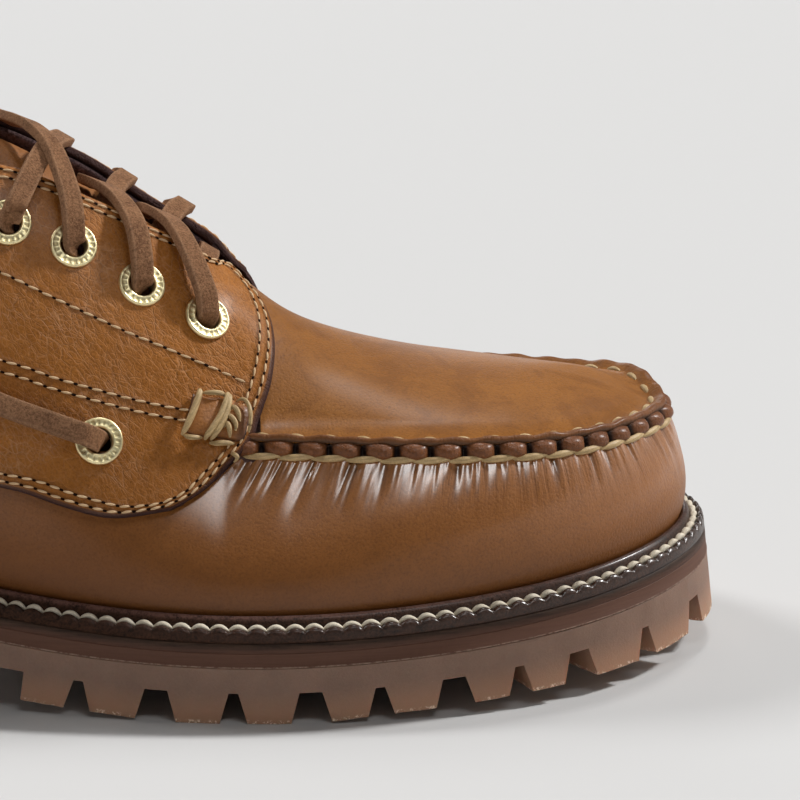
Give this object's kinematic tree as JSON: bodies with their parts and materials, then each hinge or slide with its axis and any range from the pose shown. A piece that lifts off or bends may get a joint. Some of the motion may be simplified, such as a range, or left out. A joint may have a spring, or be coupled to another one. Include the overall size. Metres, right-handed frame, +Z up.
{
  "type": "camp moccasin",
  "caption": "Hand-sewn camp moccasin for the right foot: laced leather upper with a puckered toe seam, on a welted rubber lug sole with a separate heel.",
  "frame": {"origin": "middle of the shoe's box, on the floor the shoe stands on", "axes": "+X from the heel toward the toe, -Y toward the outer (lateral) side, +Z up"},
  "size_m": [0.3028, 0.107, 0.119],
  "materials": {
    "cognac_leather": "glossy oiled cognac leather with fine grain",
    "tongue_leather": "satin tan leather",
    "insole_leather": "matt natural leather",
    "rawhide": "matt brown rawhide lace",
    "brass": "polished brass",
    "welt_leather": "glossy dark brown waxed leather",
    "midsole_leather": "satin dark brown leather",
    "band_rubber": "satin red-brown rubber",
    "sole_rubber": "satin brown rubber"
  },
  "bodies": {
    "root": {"upper": "cognac_leather", "tongue": "tongue_leather", "insole": "insole_leather", "eyestay_lateral": "cognac_leather", "side_panel_lateral": "cognac_leather", "eyestay_medial": "cognac_leather", "side_panel_medial": "cognac_leather", "eyelet_stay_lateral_1": "brass", "eyelet_stay_lateral_2": "brass", "eyelet_stay_lateral_3": "brass", "eyelet_stay_lateral_4": "brass", "eyelet_side_lateral_1": "brass", "eyelet_side_lateral_2": "brass", "eyelet_stay_medial_1": "brass", "eyelet_stay_medial_2": "brass", "eyelet_stay_medial_3": "brass", "eyelet_stay_medial_4": "brass", "eyelet_side_medial_1": "brass", "eyelet_side_medial_2": "brass", "lace_crossing_1": "rawhide", "lace_crossing_2": "rawhide", "lace_crossing_3": "rawhide", "lace_bar": "rawhide", "lace_side_lateral": "rawhide", "lace_side_medial": "rawhide", "welt": "welt_leather", "leather_midsole": "midsole_leather", "rubber_midsole": "band_rubber", "outsole": "sole_rubber", "heel": "sole_rubber"}
  },
  "joints": []
}
